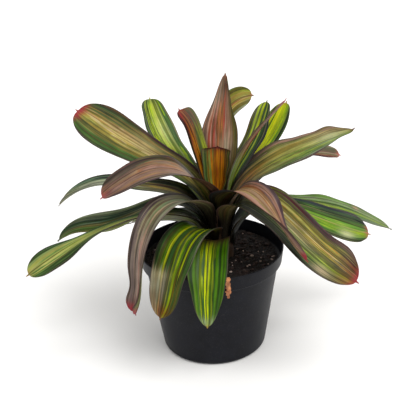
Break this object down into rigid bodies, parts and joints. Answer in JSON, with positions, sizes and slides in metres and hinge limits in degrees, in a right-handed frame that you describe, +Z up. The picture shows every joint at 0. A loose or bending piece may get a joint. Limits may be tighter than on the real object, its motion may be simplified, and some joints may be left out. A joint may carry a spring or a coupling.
{
  "type": "potted variegated bromeliad",
  "caption": "Potted bromeliad: a rosette of striped green, gold and mauve strap leaves with red pointed tips, on a short stem in potting mix, in a plain black round nursery pot.",
  "frame": {"origin": "centre of the pot's flat underside", "axes": "+Z up; the plant's front faces -Y and +X is to its right as seen from the front"},
  "size_m": [0.419, 0.2841, 0.3086],
  "materials": {
    "pot_plastic": "satin black moulded plastic, lightly scuffed",
    "potting_mix": "rough dark peat and bark with pale grit",
    "stem": "matt fibrous brown",
    "withered_leaf": "dry, matt, papery",
    "leaf_heart": "waxy satin, orange brown stripes on olive",
    "leaf_mauve": "waxy satin, mauve flush over fine gold stripes",
    "leaf_bright": "waxy satin, yellow green stripes with green margins",
    "leaf_olive": "waxy satin, gold and orange stripes on olive green",
    "leaf_dark": "waxy satin, deep green with pale green stripes"
  },
  "bodies": {
    "root": {"pot": "pot_plastic", "soil": "potting_mix", "stem": "stem", "withered_scrap": "withered_leaf", "leaf_heart": "leaf_heart", "leaf_inner_left": "leaf_heart", "leaf_inner_back": "leaf_mauve", "leaf_inner_right": "leaf_mauve", "leaf_arching_left": "leaf_mauve", "leaf_arching_right": "leaf_mauve", "leaf_hanging_left": "leaf_mauve", "leaf_right_narrow": "leaf_mauve", "leaf_back_curled": "leaf_bright", "leaf_back_right_short": "leaf_bright", "leaf_back_right": "leaf_bright", "leaf_back_left": "leaf_bright", "leaf_front": "leaf_bright", "leaf_upper_left": "leaf_olive", "leaf_upper_right": "leaf_olive", "leaf_front_right": "leaf_olive", "leaf_front_left": "leaf_olive", "leaf_left_folded": "leaf_dark", "leaf_left_twisted": "leaf_dark", "leaf_left_low": "leaf_dark", "leaf_right": "leaf_dark", "leaf_right_low": "leaf_dark", "leaf_back_low": "leaf_dark", "leaf_back_left_low": "leaf_dark"}
  },
  "joints": []
}
